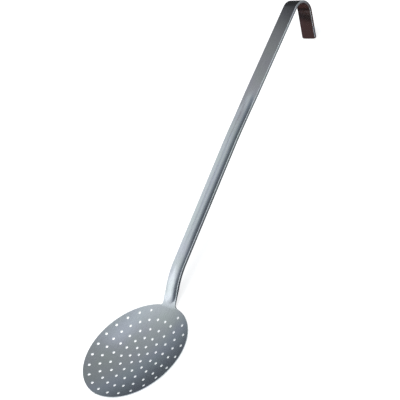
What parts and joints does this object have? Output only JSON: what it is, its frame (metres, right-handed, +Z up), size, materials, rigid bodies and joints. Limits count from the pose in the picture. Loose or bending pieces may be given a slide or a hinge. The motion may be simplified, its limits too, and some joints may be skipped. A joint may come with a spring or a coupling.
{
  "type": "kitchen skimmer spoon",
  "caption": "Steel skimmer spoon: a shallow dished blade pierced with rings of small holes, on a bent neck and a long grooved strip handle that ends in a hook.",
  "frame": {"origin": "on the table under the middle of the piece as it lies, hollow side up", "axes": "+X along the piece from the blade to the hook, +Y across it, +Z up off the table"},
  "size_m": [0.4901, 0.1207, 0.0507],
  "materials": {
    "steel": "brushed"
  },
  "bodies": {
    "root": {"skimmer": "steel"}
  },
  "joints": []
}
